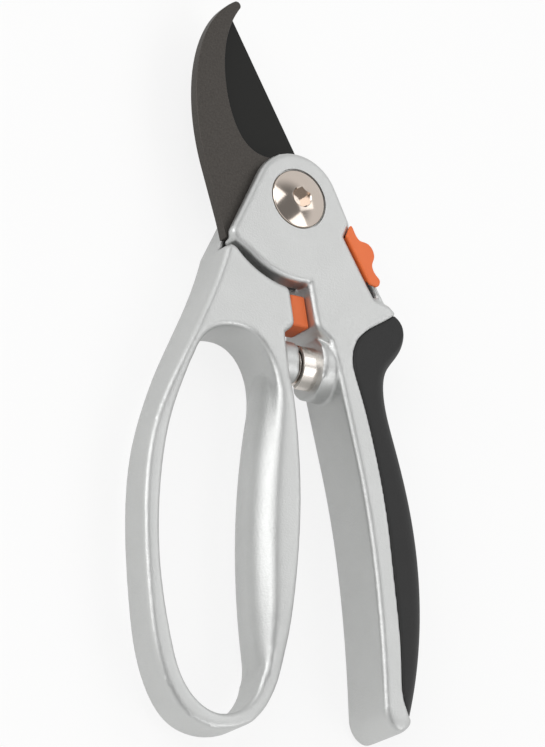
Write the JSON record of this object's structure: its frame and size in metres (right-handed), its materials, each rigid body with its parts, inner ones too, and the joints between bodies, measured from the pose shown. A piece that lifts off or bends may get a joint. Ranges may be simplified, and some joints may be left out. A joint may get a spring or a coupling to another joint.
{
  "type": "pruning shears",
  "caption": "Bypass pruning shears with a hooked counter blade, a soft-grip handle, a loop handle with finger guard, a volute spring and a sliding thumb catch.",
  "frame": {"origin": "on the pivot axis, at the end of the pivot bolt, in the plane of the handles' backs", "axes": "+Z out of the front, along the pivot axis towards the bolt's head; +Y from the handles to the blades; +X towards the handle with the soft grip"},
  "size_m": [0.0819, 0.1998, 0.0185],
  "materials": {
    "cast_aluminium": "satin, fine-grained casting",
    "soft_rubber": "matte",
    "hook_steel": "dark, fine-grained",
    "blade_steel": "smooth dark coating",
    "bolt_chrome": "polished",
    "orange_plastic": "matte",
    "orange_rubber": "matte",
    "spring_steel": "satin",
    "plain_steel": "satin",
    "bronze": "satin"
  },
  "bodies": {
    "grip_lever": {"grip_casting": "cast_aluminium", "soft_grip": "soft_rubber", "counter_blade": "hook_steel", "counter_blade_pins": "plain_steel", "pivot_bolt": "bolt_chrome", "pivot_nut": "plain_steel", "pivot_washer": "plain_steel", "disc_spring": "spring_steel", "bumper": "orange_rubber", "catch_retainer": "plain_steel", "retainer_screws": "plain_steel", "detent_ball": "bolt_chrome", "detent_spring": "spring_steel", "volute_spring": "spring_steel"},
    "loop_lever": {"loop_casting": "cast_aluminium", "cutting_blade": "blade_steel", "blade_screws": "plain_steel", "pivot_bush": "bronze"},
    "thumb_catch": {"thumb_catch": "orange_plastic", "catch_pin": "plain_steel"}
  },
  "joints": [
    {"name": "lever_hinge", "type": "hinge", "parent": "grip_lever", "child": "loop_lever", "pos_m": [0, 0, 0], "axis": [0, 0, 1], "range_deg": [-27, 0], "deforming": ["volute_spring"]},
    {"name": "catch_slide", "type": "slide", "parent": "grip_lever", "child": "thumb_catch", "axis": [0.5, -0.866, 0], "range_m": [0, 0.0043]}
  ]
}
